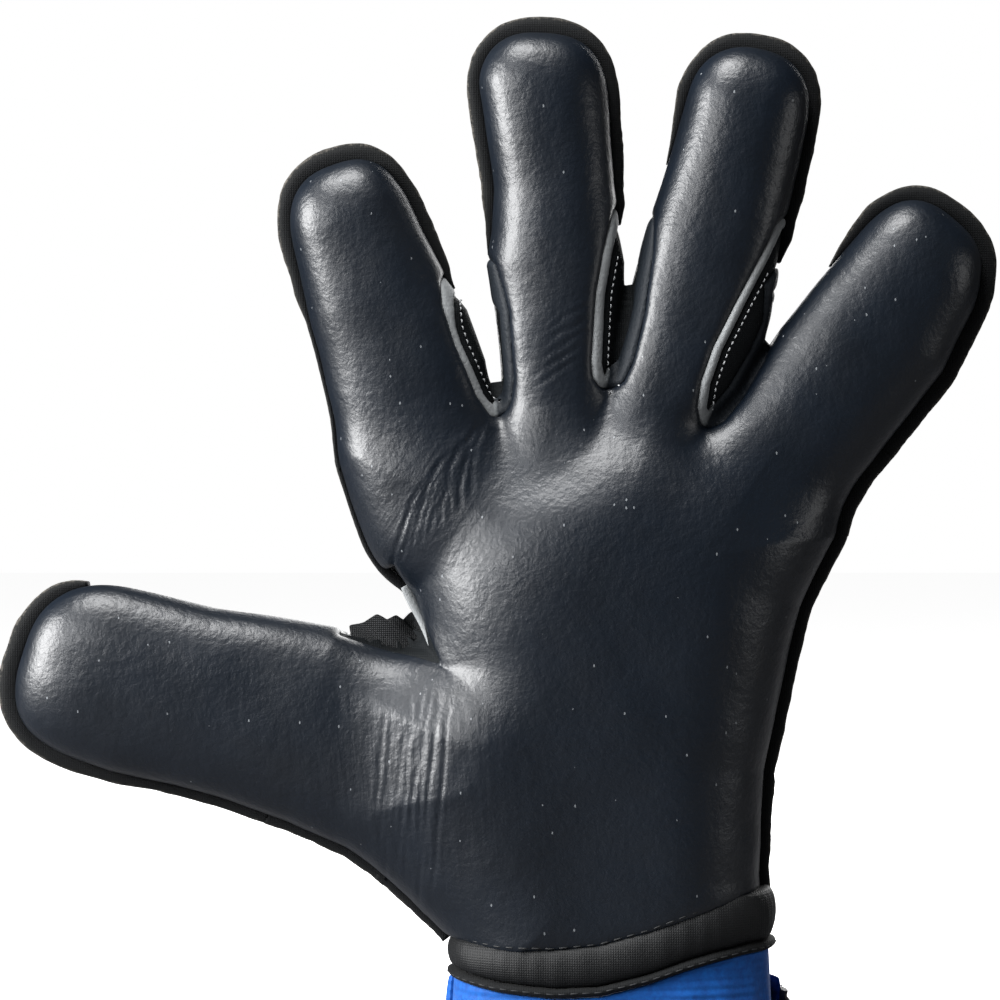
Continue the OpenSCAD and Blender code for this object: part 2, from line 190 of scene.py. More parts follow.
def field(p):
    return whole(parts_at(flat_terms(p[:, 0], p[:, 2]), p[:, 1]))


def slope(p, e=0.05):
    g = np.empty_like(p)
    for a in range(3):
        q = p.copy()
        q[:, a] += e
        r = p.copy()
        r[:, a] -= e
        g[:, a] = (field(q) - field(r)) / (2 * e)
    return g


def settle(p, turns=3):
    for _ in range(turns):
        g = slope(p)
        p = p - np.clip(field(p) / (g * g).sum(1), -3, 3)[:, None] * g
    return p


def unit(v):
    return v / np.maximum(np.linalg.norm(v, axis=-1, keepdims=True), 1e-12)


# ---------------------------------------------------------------- meshing
def surface_nets(f, low, cell):
    sign = f < 0
    size = np.array(f.shape) - 1
    count = np.zeros(size, np.uint8)
    corners = [(i, j, k) for i in (0, 1) for j in (0, 1) for k in (0, 1)]

    def at(a, c):
        return a[c[0]:c[0] + size[0], c[1]:c[1] + size[1], c[2]:c[2] + size[2]]

    for c in corners:
        count += at(sign, c)
    active = (count > 0) & (count < 8)
    index = np.full(size, -1, np.int64)
    cells = np.argwhere(active)
    index[active] = np.arange(len(cells))
    pos = np.zeros((len(cells), 3))
    hits = np.zeros(len(cells))
    for a in range(3):
        for c in corners:
            if c[a]:
                continue
            d = list(c)
            d[a] = 1
            f0, f1 = at(f, c)[active], at(f, d)[active]
            m = (f0 < 0) != (f1 < 0)
            t = np.where(m, f0 / np.where(m, f0 - f1, 1), 0)
            point = np.array(c, float) + np.zeros((len(cells), 3))
            point[:, a] += t
            pos[m] += point[m]
            hits[m] += 1
    pos = (pos / hits[:, None] + cells) * cell + low
    quads = []
    for a in range(3):
        b, c = (a + 1) % 3, (a + 2) % 3
        n = list(f.shape)
        n[a] -= 1
        lo = [slice(0, n[i]) for i in range(3)]
        hi = list(lo)
        hi[a] = slice(1, n[a] + 1)
        cross = sign[tuple(lo)] != sign[tuple(hi)]
        at_edges = np.argwhere(cross)
        keep = (at_edges[:, b] > 0) & (at_edges[:, c] > 0) & (at_edges[:, b] < f.shape[b] - 1) & (at_edges[:, c] < f.shape[c] - 1)
        at_edges = at_edges[keep]
        ring = []
        for ob, oc in ((-1, -1), (0, -1), (0, 0), (-1, 0)):
            q = at_edges.copy()
            q[:, b] += ob
            q[:, c] += oc
            ring.append(index[q[:, 0], q[:, 1], q[:, 2]])
        ring = np.stack(ring, 1)
        flip = ~sign[at_edges[:, 0], at_edges[:, 1], at_edges[:, 2]]
        ring[flip] = ring[flip][:, ::-1]
        quads.append(ring)
    return pos, np.concatenate(quads)


def relax(p, quads, turns):
    edges = np.unique(np.sort(np.concatenate([quads[:, [i, (i + 1) % 4]] for i in range(4)]), axis=1), axis=0)
    for _ in range(turns):
        total = np.zeros_like(p)
        number = np.zeros(len(p))
        for a, b in ((0, 1), (1, 0)):
            for k in range(3):
                total[:, k] += np.bincount(edges[:, a], p[edges[:, b], k], len(p))
            number += np.bincount(edges[:, a], minlength=len(p))
        p = settle(p + 0.6 * (total / number[:, None] - p), 1)
    return p


def subdivide(p, quads):
    pairs = np.sort(np.concatenate([quads[:, [i, (i + 1) % 4]] for i in range(4)]), axis=1)
    edges, back = np.unique(pairs, axis=0, return_inverse=True)
    back = back.reshape(-1).reshape(4, -1).T + len(p)
    mid = (p[edges[:, 0]] + p[edges[:, 1]]) / 2
    centre = np.arange(len(quads)) + len(p) + len(edges)
    new = np.concatenate([p, mid, p[quads].mean(1)])
    out = [np.stack([quads[:, i], back[:, i], centre, back[:, i - 1]], 1) for i in range(4)]
    return new, np.concatenate(out)


def clip(p, tris, g, extra=()):
    """Keeps the part of a mesh where g is positive; new points lie on the zero line."""
    out_t, new_p, cache = [], [], {}
    inside = g > 0
    n = inside[tris].sum(1)
    out_t.append(tris[n == 3])
    mixed = tris[(n > 0) & (n < 3)]
    base = len(p)
    made = []

    def cut(a, b):
        key = (a, b) if a < b else (b, a)
        if key not in cache:
            cache[key] = base + len(made)
            i, j = key
            made.append((i, j, g[i] / (g[i] - g[j])))
        return cache[key]

    extra_t = []
    for t in mixed:
        a, b, c = (int(v) for v in t)
        while not (inside[a] and not inside[c]):
            a, b, c = b, c, a
        ac = cut(a, c)
        if inside[b]:
            bc = cut(b, c)
            extra_t += [(a, b, bc), (a, bc, ac)]
        else:
            extra_t.append((a, cut(a, b), ac))
    if made:
        m = np.array([(i, j) for i, j, _ in made])
        t = np.array([t for _, _, t in made])[:, None]
        p2 = np.concatenate([p, p[m[:, 0]] * (1 - t) + p[m[:, 1]] * t])
        extra = [np.concatenate([e, e[m[:, 0]] * (1 - (t if e.ndim > 1 else t[:, 0])) + e[m[:, 1]] * (t if e.ndim > 1 else t[:, 0])]) for e in extra]
        out_t.append(np.array(extra_t))
    else:
        p2 = p
        extra = list(extra)
    tris = np.concatenate([t for t in out_t if len(t)]) if any(len(t) for t in out_t) else np.zeros((0, 3), int)
    used = np.unique(tris)
    back = np.full(len(p2), -1)
    back[used] = np.arange(len(used))
    return p2[used], back[tris], [e[used] for e in extra]


def point_normals(p, tris):
    n = np.zeros_like(p)
    face = np.cross(p[tris[:, 1]] - p[tris[:, 0]], p[tris[:, 2]] - p[tris[:, 0]])
    for i in range(3):
        for k in range(3):
            n[:, k] += np.bincount(tris[:, i], face[:, k], len(p))
    return unit(n)


# ---------------------------------------------------------------- seams and creases
SIDE_FRONT, SIDE_BACK = -0.9, 4.8
GAPS = [("index", "middle"), ("middle", "ring"), ("ring", "little")]
STRIP = {"index": [(-2, 2.0), (12, 1.7), (24, 1.5), (32, 3.2), (40, 3.6)], "middle": [(-2, 2.6), (20, 2.4), (44, 2.2)],
         "ring": [(-2, 2.4), (16, 2.2), (46, 1.9)]}


WEB_FOOT = (-40.8, 117.1)


def thumb_crook(p):
    """Distance inside the crook of the thumb from the index side and from the thumb."""
    x, z = p[:, 0] - WEB_FOOT[0], p[:, 2] - WEB_FOOT[1]
    near = 26 - np.hypot(x, z)
    return np.minimum(-0.888 * x - 0.459 * z, near), np.minimum(0.299 * x + 0.955 * z, near)


def gap_fields(p):
    """For each crook: distance inside it from either latex edge, and how wide its strips are."""
    out = []
    for a, b in GAPS:
        sa, ua = local(a, p[:, 0], p[:, 2])
        sb, ub = local(b, p[:, 0], p[:, 2])
        left = ua - table(SHAPES[a]["right"], sa)
        right = table(SHAPES[b]["left"], sb) - ub
        w = table(STRIP[a], sa)
        out.append((left, right, smin(left, right, 3.0), np.where(right < left, w + 0.6, w)))
    left, right = thumb_crook(p)
    out.append((left, right, smin(left, right, 1.5), np.full(len(p), -9.0)))
    return out


SEAM = [(-41, 52), (-37.9, 51.7), (-27.9, 50.6), (-14.7, 50.3), (-4, 51.4), (7.6, 54.8), (16.5, 58.2), (23.9, 60.5), (31.5, 62.3), (39, 63)]


def seam_line(x, y):
    """Height of the heel seam."""
    return np.where(y < 0, table(SEAM, x), np.interp(x, [-41, 39], [52, 63]))


def panel_fields(p):
    """Fields that are positive on each panel of the skin, and how dark a strip is: painted light and shade, light grey
    where a strip faces right as if lit, dark where it faces left as if in shade.
    """
    y = p[:, 1]
    top = p[:, 2] - seam_line(p[:, 0], y)
    front = SIDE_FRONT - y
    strip = np.full(len(p), -99.0)
    tone = np.zeros(len(p))
    for left, right, g, w in gap_fields(p):
        front = np.minimum(front, -g)
        s = np.minimum(np.minimum(g, w - g), 2.0 - y)
        # Painted light and shade: the strip along a finger's right side is made light grey as if lit, and the strip
        # along its left side dark as if in shade; both are one band.
        tone = np.where(s > strip, np.clip((left - right) / 2.4 + 0.4, 0, 1), tone)
        strip = np.maximum(strip, s)
    side = np.minimum(np.minimum(-front, SIDE_BACK - y), np.minimum(top, -strip))
    return dict(latex=np.minimum(front, top), knit=np.minimum(y - SIDE_BACK, top),
                strip=np.minimum(strip, top), side=side), tone


rng = np.random.default_rng(11)


def crease_set():
    """Creases of the latex: lines of points in the plane of the hand, a depth and a width."""
    out = []
    for k in range(13):
        x = -55.5 + 15.5 * (k / 12) ** 0.9 + rng.normal(0, 0.5)
        top = 112 - 9 * abs(k - 8) / 8 + rng.normal(0, 3)
        low = 66 + 1.2 * abs(k - 7) + rng.normal(0, 4) - (6 if k > 7 else 0)
        zs = np.linspace(top, low, 6)
        xs = x + 2.6 * np.sin((zs - 90) / 26) + rng.normal(0, 0.35, 6)
        out.append((np.stack([xs, zs], 1), 0.12 * rng.uniform(0.5, 1.2), rng.uniform(0.55, 0.8)))
    for k in range(9):
        t = k / 8
        a = np.array([-53 + 19 * t, 139 + 17 * t])
        b = np.array([-41.5 + 11 * t, 165 + 10.5 * t])
        m = (a + b) / 2 + np.array([-2.4, 1.6])
        q = np.linspace(0, 1, 6)[:, None]
        line = (1 - q) ** 2 * a + 2 * q * (1 - q) * m + q * q * b + rng.normal(0, 0.25, (6, 2))
        out.append((line, 0.27 * rng.uniform(0.5, 1.2), rng.uniform(0.5, 0.75)))
    for k in range(5):
        a = np.array([-19 + 1.0 * k, 183 + 3.4 * k])
        b = a + np.array([10.5, 6.2])
        q = np.linspace(0, 1, 4)[:, None]
        out.append((a + (b - a) * q + rng.normal(0, 0.25, (4, 2)), 0.13, 0.6))
    return out


CREASES = crease_set()


def crease_depth(p):
    d = np.zeros(len(p))
    for line, deep, wide in CREASES:
        near = np.where((p[:, 0] > line[:, 0].min() - 4) & (p[:, 0] < line[:, 0].max() + 4)
                        & (p[:, 2] > line[:, 1].min() - 4) & (p[:, 2] < line[:, 1].max() + 4) & (p[:, 1] < 0))[0]
        if not len(near):
            continue
        x, z = p[near, 0], p[near, 2]
        best = np.full(len(near), 1e9)
        along = np.zeros(len(near))
        for k, ((x1, z1), (x2, z2)) in enumerate(zip(line, line[1:])):
            dx, dz = x2 - x1, z2 - z1
            t = np.clip(((x - x1) * dx + (z - z1) * dz) / (dx * dx + dz * dz), 0, 1)
            r = np.hypot(x - x1 - t * dx, z - z1 - t * dz)
            along = np.where(r < best, (k + t) / (len(line) - 1), along)
            best = np.minimum(best, r)
        fade = np.clip(4 * along * (1 - along), 0, 1) ** 0.5
        d[near] += fade * deep * (0.45 * np.exp(-((best - 1.5 * wide) / wide) ** 2) - np.exp(-(best / wide) ** 2))
    return d


def lumps(p, size, seed):
    """Smooth noise from a few waves."""
    r = np.random.default_rng(seed)
    out = np.zeros(len(p))
    for _ in range(9):
        k = r.normal(0, 1, 3)
        k *= (0.6 + r.uniform(0, 0.9)) * 2 * math.pi / size / np.linalg.norm(k)
        out += np.sin(p @ k + r.uniform(0, 6.28))
    return out / 4


# ---------------------------------------------------------------- skin of the hand
CELL = 1.35
low = np.array([-149.0, -31.0, 38.0])
xs = low[0] + CELL * np.arange(int(246 / CELL))
ys = low[1] + CELL * np.arange(int(62 / CELL) + 1)
zs = low[2] + CELL * np.arange(int(236 / CELL) + 1)
X, Z = np.meshgrid(xs, zs, indexing="ij")
terms = {k: tuple(a[:, None, :] for a in v) for k, v in flat_terms(X, Z).items()}
grid = whole(parts_at(terms, ys[None, :, None]))
skin, quads = surface_nets(grid, low, CELL)
skin = relax(skin, quads, 4)
skin, quads = subdivide(skin, quads)
skin = settle(skin, 2)
tris = np.concatenate([quads[:, [0, 1, 2]], quads[:, [0, 2, 3]]])


def owners(p):
    """For each finger, a field that is positive on the skin that goes with it."""
    fields = parts_at(flat_terms(p[:, 0], p[:, 2]), p[:, 1])
    out = {}
    for name in SHAPES:
        s, _ = local(name, p[:, 0], p[:, 2])
        others = [fields[n] for n in SHAPES if n != name]
        if name == "thumb":
            others.append(fields["palm"] + 2.0)
        out[name] = np.minimum(s - FOOT[name], np.min(others, 0) - fields[name])
    return out


MATERIALS = {}


def to_mesh(name, p, faces, normals=None, tone=None, material="latex", smooth=True):
    mesh = bpy.data.meshes.new(name)
    mesh.from_pydata([tuple(v) for v in np.asarray(p) * MM], [], [tuple(int(i) for i in f) for f in faces])
    mesh.update()
    mesh.polygons.foreach_set("use_smooth", [smooth] * len(mesh.polygons))
    if tone is not None:
        a = mesh.attributes.new("tone", "FLOAT", "POINT")
        a.data.foreach_set("value", np.asarray(tone, np.float32))
    if normals is not None:
        mesh.normals_split_custom_set_from_vertices([tuple(v) for v in normals])
    obj = bpy.data.objects.new(name, mesh)
    bpy.context.scene.collection.objects.link(obj)
    mesh.materials.append(MATERIALS[material])
    return obj


def thicken(p, tris, normal, shade, wall, tone=None):
    """Closes a patch into a shell with an inner face and a rim."""
    n = len(p)
    edges = np.concatenate([tris[:, [0, 1]], tris[:, [1, 2]], tris[:, [2, 0]]])
    key = edges[:, 0] * (n + 1) + edges[:, 1]
    back = edges[:, 1] * (n + 1) + edges[:, 0]
    rim = edges[~np.isin(key, back)]
    faces = [tuple(t) for t in tris] + [tuple(t[::-1] + n) for t in tris]
    faces += [(b, a, a + n, b + n) for a, b in rim]
    return (np.concatenate([p, p - normal * wall]), faces, np.concatenate([shade, -normal]),
            None if tone is None else np.concatenate([tone, tone]))


def hinge_points(name, part):
    """Where the bend of a finger's foot or middle starts and ends, in metres."""
    if part == "base":
        a, b = FOOT[name], FOOT[name] + REACH[name]
    else:
        j = JOINTS[name + "_middle"]
        s, _ = local(name, j["pos_m"][0] * 1000, j["pos_m"][2] * 1000)
        a, b = s - 8.5, s + 8.5
    return world(name, a, 0.0) * MM, world(name, b, 0.0) * MM


def hang(obj, body):
    """Ties a piece to a body, 'hand' or 'strap'. A piece of a finger's base or tip only has its transform baked; its
    bend points are worked out but not used.
    """
    if "_" in body:
        name, part = body.rsplit("_", 1)
        start, end = hinge_points(name, part)
        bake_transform(obj)
    else:
        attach(obj, body)
    return obj


# ---------------------------------------------------------------- materials
def material(name, colour, rough, build=None, sheen=0.0, spec=0.5):
    m = bpy.data.materials.new(name)
    m.use_nodes = True
    nt = m.node_tree
    b = nt.nodes["Principled BSDF"]
    b.inputs["Base Color"].default_value = (*colour, 1)
    b.inputs["Roughness"].default_value = rough
    b.inputs["Sheen Weight"].default_value = sheen
    b.inputs["Specular IOR Level"].default_value = spec
    if build:
        build(nt, b)
    MATERIALS[name] = m
    return m


def node(nt, kind, **values):
    n = nt.nodes.new(kind)
    for k, v in values.items():
        if k.startswith("_"):
            setattr(n, k[1:], v)
        else:
            n.inputs[k.replace("0", " ")].default_value = v
    return n


def coords(nt, scale):
    c = nt.nodes.new("ShaderNodeTexCoord")
    m = nt.nodes.new("ShaderNodeMapping")
    m.inputs["Scale"].default_value = scale if isinstance(scale, tuple) else (scale,) * 3
    nt.links.new(c.outputs["Object"], m.inputs["Vector"])
    return m.outputs["Vector"]


def noise(nt, vec, scale, detail=3.0, rough=0.5):
    n = nt.nodes.new("ShaderNodeTexNoise")
    n.inputs["Scale"].default_value = scale
    n.inputs["Detail"].default_value = detail
    n.inputs["Roughness"].default_value = rough
    nt.links.new(vec, n.inputs["Vector"])
    return n.outputs["Fac"]


def math_node(nt, op, a, b=None, clamp=False):
    n = nt.nodes.new("ShaderNodeMath")
    n.operation = op
    n.use_clamp = clamp
    for i, v in enumerate((a, b)):
        if v is None:
            continue
        if isinstance(v, (int, float)):
            n.inputs[i].default_value = v
        else:
            nt.links.new(v, n.inputs[i])
    return n.outputs[0]


def ramp(nt, fac, stops):
    n = nt.nodes.new("ShaderNodeValToRGB")
    while len(n.color_ramp.elements) < len(stops):
        n.color_ramp.elements.new(0.5)
    for e, (pos, col) in zip(n.color_ramp.elements, stops):
        e.position = pos
        e.color = (*col, 1) if len(col) == 3 else col
    nt.links.new(fac, n.inputs["Fac"])
    return n.outputs["Color"]


def bump_node(nt, b, height, strength, distance, normal=None):
    n = nt.nodes.new("ShaderNodeBump")
    n.inputs["Strength"].default_value = strength
    n.inputs["Distance"].default_value = distance
    nt.links.new(height, n.inputs["Height"])
    if normal is not None:
        nt.links.new(normal, n.inputs["Normal"])
    nt.links.new(n.outputs["Normal"], b.inputs["Normal"])
    return n.outputs["Normal"]


# Wrinkled places of the latex: centre and reach in metres, turn, rates across and along.
WRINKLES = [((-0.049, -0.018, 0.088), 0.034, 4, (640, 90, 60), 1.5),
            ((-0.047, -0.012, 0.155), 0.024, -33, (600, 90, 65), 1.3),
            ((-0.014, -0.014, 0.190), 0.016, 58, (620, 90, 80), 0.8)]


def latex_nodes(nt, b):
    """Foam skin: a fine crinkle, soft patches of gloss and pale lint."""
    v = coords(nt, 1.0)
    fine = noise(nt, v, 900, 3, 0.6)
    mid = noise(nt, v, 380, 3, 0.55)
    height = math_node(nt, "ADD", math_node(nt, "MULTIPLY", fine, 0.55), mid)
    for centre, reach, turn, rate, amount in WRINKLES:
        turned = nt.nodes.new("ShaderNodeMapping")
        turned.inputs["Rotation"].default_value = (0, math.radians(turn), 0)
        nt.links.new(v, turned.inputs["Vector"])
        place = nt.nodes.new("ShaderNodeMapping")
        place.inputs["Scale"].default_value = rate
        nt.links.new(turned.outputs["Vector"], place.inputs["Vector"])
        folds = noise(nt, place.outputs["Vector"], 1.0, 2, 0.45)
        far = nt.nodes.new("ShaderNodeVectorMath")
        far.operation = "DISTANCE"
        far.inputs[1].default_value = centre
        nt.links.new(v, far.inputs[0])
        mask = math_node(nt, "SUBTRACT", 1.0, math_node(nt, "MULTIPLY", far.outputs["Value"], 1 / reach), True)
        height = math_node(nt, "ADD", height, math_node(nt, "MULTIPLY", math_node(nt, "MULTIPLY", folds, mask), amount))
    bump_node(nt, b, height, 0.34, 0.0005)
    patch = noise(nt, v, 28, 3, 0.5)
    rough = math_node(nt, "ADD", math_node(nt, "MULTIPLY", patch, 0.12), 0.32)
    nt.links.new(rough, b.inputs["Roughness"])
    lint = nt.nodes.new("ShaderNodeTexVoronoi")
    lint.inputs["Scale"].default_value = 420
    lint.inputs["Randomness"].default_value = 1.0
    warp = coords(nt, (1.0, 1.0, 0.55))
    nt.links.new(warp, lint.inputs["Vector"])
    size = math_node(nt, "LESS_THAN", lint.outputs["Distance"], 0.085)
    sep = nt.nodes.new("ShaderNodeSeparateColor")
    nt.links.new(lint.outputs["Color"], sep.inputs[0])
    few = math_node(nt, "GREATER_THAN", sep.outputs[0], 0.72)
    speck = math_node(nt, "MULTIPLY", size, few)
    mix = nt.nodes.new("ShaderNodeMix")
    mix.data_type = "RGBA"
    base = ramp(nt, noise(nt, v, 60, 4, 0.6), [(0.3, (0.0004, 0.0024, 0.0058)), (0.7, (0.0012, 0.0040, 0.0088))])
    nt.links.new(math_node(nt, "MULTIPLY", speck, 0.45), mix.inputs[0])
    nt.links.new(base, mix.inputs[6])
    mix.inputs[7].default_value = (0.30, 0.32, 0.34, 1)
    nt.links.new(mix.outputs[2], b.inputs["Base Color"])


def weave(nt, scale, vec=None):
    """Crossing threads as a height."""
    v = vec or coords(nt, 1.0)
    waves = []
    for axis in ("X", "Z"):
        w = nt.nodes.new("ShaderNodeTexWave")
        w.wave_type = "BANDS"
        w.bands_direction = axis
        w.inputs["Scale"].default_value = scale
        w.inputs["Distortion"].default_value = 0.6
        w.inputs["Detail"].default_value = 1.0
        nt.links.new(v, w.inputs["Vector"])
        waves.append(w.outputs["Fac"])
    return math_node(nt, "MULTIPLY", waves[0], waves[1])


def trim_nodes(nt, b):
    v = coords(nt, 1.0)
    h = math_node(nt, "ADD", weave(nt, 560, v), noise(nt, v, 1400, 2, 0.6))
    bump_node(nt, b, h, 0.3, 0.0003)
    tone = nt.nodes.new("ShaderNodeAttribute")
    tone.attribute_name = "tone"
    fuzz = math_node(nt, "MULTIPLY", tone.outputs["Fac"], noise(nt, v, 1100, 3, 0.7), True)
    col = ramp(nt, fuzz, [(0.0, (0.0005, 0.0010, 0.0016)), (0.34, (0.0035, 0.004, 0.004)), (0.66, (0.09, 0.082, 0.07))])
    nt.links.new(col, b.inputs["Base Color"])


def strip_nodes(nt, b):
    v = coords(nt, 1.0)
    tone = nt.nodes.new("ShaderNodeAttribute")
    tone.attribute_name = "tone"
    n = noise(nt, v, 120, 4, 0.6)
    wob = math_node(nt, "ADD", tone.outputs["Fac"], math_node(nt, "MULTIPLY", math_node(nt, "SUBTRACT", n, 0.5), 0.25), True)
    # The tone attribute paints light and shade on one band: low tone is a painted lit light grey, high tone a painted
    # shaded near black.
    col = ramp(nt, wob, [(0.0, (0.20, 0.21, 0.215)), (0.35, (0.13, 0.14, 0.145)), (0.75, (0.006, 0.009, 0.013))])
    nt.links.new(col, b.inputs["Base Color"])
    bump_node(nt, b, math_node(nt, "ADD", noise(nt, v, 1200, 2, 0.5), noise(nt, v, 200, 3, 0.5)), 0.4, 0.0005)


def knit_nodes(nt, b):
    v = coords(nt, 1.0)
    vor = nt.nodes.new("ShaderNodeTexVoronoi")
    vor.inputs["Scale"].default_value = 1050
    nt.links.new(v, vor.inputs["Vector"])
    n = noise(nt, v, 800, 4, 0.7)
    mix = math_node(nt, "ADD", math_node(nt, "MULTIPLY", vor.outputs["Distance"], 0.6), math_node(nt, "MULTIPLY", n, 0.7))
    col = ramp(nt, mix, [(0.36, (0.70, 0.70, 0.68)), (0.6, (0.50, 0.505, 0.50)), (0.85, (0.20, 0.205, 0.21))])
    nt.links.new(col, b.inputs["Base Color"])
    bump_node(nt, b, math_node(nt, "SUBTRACT", 1.0, mix), 0.7, 0.0007)


def blue_nodes(nt, b):
    v = coords(nt, 1.0)
    rib = nt.nodes.new("ShaderNodeTexWave")
    rib.bands_direction = "Z"
    rib.inputs["Scale"].default_value = 150
    rib.inputs["Distortion"].default_value = 0.3
    nt.links.new(v, rib.inputs["Vector"])
    n = noise(nt, v, 700, 3, 0.6)
    h = math_node(nt, "ADD", rib.outputs["Fac"], math_node(nt, "MULTIPLY", n, 0.7))
    bump_node(nt, b, h, 0.45, 0.0004)
    col = ramp(nt, n, [(0.25, (0.0, 0.05, 0.25)), (0.75, (0.0, 0.10, 0.42))])
    nt.links.new(col, b.inputs["Base Color"])


def mesh_nodes(nt, b):
    v = coords(nt, 1.0)
    h = weave(nt, 640, v)
    bump_node(nt, b, h, 0.5, 0.0004)
    col = ramp(nt, h, [(0.1, (0.0012, 0.0018, 0.0024)), (0.8, (0.008, 0.010, 0.013))])
    nt.links.new(col, b.inputs["Base Color"])


def side_nodes(nt, b):
    v = coords(nt, 1.0)
    h = math_node(nt, "ADD", weave(nt, 620, v), noise(nt, v, 1500, 2, 0.5))
    bump_node(nt, b, h, 0.35, 0.0003)
    col = ramp(nt, h, [(0.3, (0.0008, 0.0014, 0.002)), (0.9, (0.004, 0.0055, 0.0065))])
    nt.links.new(col, b.inputs["Base Color"])


def pile_nodes(nt, b):
    v = coords(nt, 1.0)
    bump_node(nt, b, noise(nt, v, 900, 4, 0.7), 0.9, 0.001)


material("latex", (0.001, 0.004, 0.008), 0.36, latex_nodes, spec=0.5)
material("trim", (0.004, 0.004, 0.005), 0.8, trim_nodes, sheen=0.02, spec=0.2)
material("strip", (0.3, 0.3, 0.3), 0.62, strip_nodes, spec=0.25)
material("knit", (0.6, 0.6, 0.6), 0.85, knit_nodes, sheen=0.2, spec=0.25)
material("blue", (0.0, 0.07, 0.3), 0.72, blue_nodes, sheen=0.08, spec=0.3)
material("mesh", (0.01, 0.01, 0.01), 0.7, mesh_nodes, spec=0.35)
material("side", (0.002, 0.003, 0.004), 0.75, side_nodes, sheen=0.0, spec=0.15)
material("thread", (0.010, 0.011, 0.012), 0.6, None, spec=0.35)
material("pale_thread", (0.40, 0.41, 0.42), 0.6, None, spec=0.4)
material("pad", (0.002, 0.003, 0.004), 0.62, trim_nodes, sheen=0.0, spec=0.3)
material("lining", (0.10, 0.105, 0.12), 0.9, pile_nodes, sheen=0.3, spec=0.15)
material("pile", (0.008, 0.008, 0.009), 0.95, pile_nodes, sheen=0.3, spec=0.1)
material("grip", (0.02, 0.02, 0.022), 0.5, pile_nodes)

# ---------------------------------------------------------------- panels
NODES_OF = {
    "latex": ("palm_latex", "{}_base_latex", "{}_tip_latex"),
    "knit": ("backhand_panel", "{}_base_back", "{}_tip_back"),
    "strip": (None, None, None),
    "side": (None, None, None),
}
PIECE = {"latex": "foam", "knit": "knit", "side": "wall", "strip": "strip"}
WALL = {"latex": 4.2, "knit": 2.0, "side": 1.6, "strip": 1.2}
fields, tone = panel_fields(skin)


def split_bodies(kind, p, t, data):
    """Yields body name and patch for each body a panel crosses. data rides along."""
    own = owners(p)
    hand = -np.max(list(own.values()), 0)
    yield "hand", clip(p, t, hand, data)
    for name in SHAPES:
        q, u, d = clip(p, t, own[name], data)
        if not len(u):
            continue
        s, _ = local(name, q[:, 0], q[:, 2])
        yield name + "_base", clip(q, u, SHAPES[name]["split"] - s, d)
        yield name + "_tip", clip(q, u, s - SHAPES[name]["split"], d)


def displaced(kind, p, g, normal):
    """How far a panel's face stands off the bare skin at each point."""
    d = 0.25 * lumps(p, 34, 3) * (kind == "latex") + 0.12 * lumps(p, 15, 4)
    if kind == "latex":
        d = d + crease_depth(p) - 0.95 * np.exp(-np.maximum(g, 0) / 0.75)
        d = d - 0.10 * np.abs(lumps(p * [1, 1, 0.6], 7, 5)) * bump(p[:, 0], p[:, 2], -47, 88, 26)
    elif kind == "knit":
        d = d + 0.5 - 1.3 * np.exp(-np.maximum(g, 0) / 1.0)
    elif kind == "strip":
        w = np.clip(g / 1.1, 0, 1)
        d = d + 0.55 * np.sqrt(np.maximum(w * (2 - w), 0)) - 0.75
    else:
        web = np.minimum(*thumb_crook(p))
        d = d - 0.7 - 0.6 * np.exp(-np.maximum(g, 0) / 0.7) - np.clip(0.9 * web, 0, 2.6)
    return d


for kind in ("latex", "knit", "side", "strip"):
    p, t, (g, tn) = clip(skin, tris, fields[kind], [fields[kind], tone])
    n0 = unit(slope(p))
    face = p + n0 * displaced(kind, p, g, n0)[:, None]
    shade = point_normals(face, t)
    for body, (q, u, (f2, n2, s2, tn2)) in split_bodies(kind, p, t, [face, n0, shade, tn]):
        if len(u) < 8:
            continue
        finger, part = body.rsplit("_", 1) if "_" in body else ("", "hand")
        v, faces, shading, tones = thicken(f2, u, unit(n2), unit(s2), WALL[kind], tn2)
        obj = to_mesh(f"{body}_{PIECE[kind]}", v, faces, shading, tones, kind)
        hang(obj, body)
        covers = NODES_OF[kind][{"hand": 0, "base": 1, "tip": 2}[part]]
        if covers:
            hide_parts(covers.format(finger))


# ---------------------------------------------------------------- bound edges
def reach_skin(p, out, span=14.0):
    """Moves points along out until they meet the skin."""
    lo, hi = np.full(len(p), -span), np.full(len(p), span)
    for _ in range(26):
        mid = (lo + hi) / 2
        inside = field(p + out * mid[:, None]) < 0
        lo, hi = np.where(inside, mid, lo), np.where(inside, hi, mid)
    return p + out * lo[:, None]


def resample(p, step, *others):
    d = np.concatenate([[0], np.cumsum(np.linalg.norm(np.diff(p, axis=0), axis=1))])
    n = max(3, int(d[-1] / step) + 1)
    q = np.linspace(0, d[-1], n)
    return [np.stack([np.interp(q, d, a[:, k]) for k in range(a.shape[1])], 1) if a.ndim > 1 else np.interp(q, d, a)
            for a in (p, *others)]


def sweep(path, out, depth, section, tones=None):
    """Carries a closed section along a path. section(i) gives rows of (outward, depth) and a tone."""
    n = len(path)
    rows = [section(i) for i in range(n)]
    m = len(rows[0])
    v = np.concatenate([path[i] + r[:, :1] * out[i] + r[:, 1:2] * depth[i] for i, r in enumerate(rows)])
    faces = [(i * m + j, i * m + (j + 1) % m, (i + 1) * m + (j + 1) % m, (i + 1) * m + j)
             for i in range(n - 1) for j in range(m)]
    faces += [tuple(range(m))[::-1], tuple((n - 1) * m + j for j in range(m))]
    tone = np.concatenate([r[:, 2] for r in rows])
    return v, faces, tone


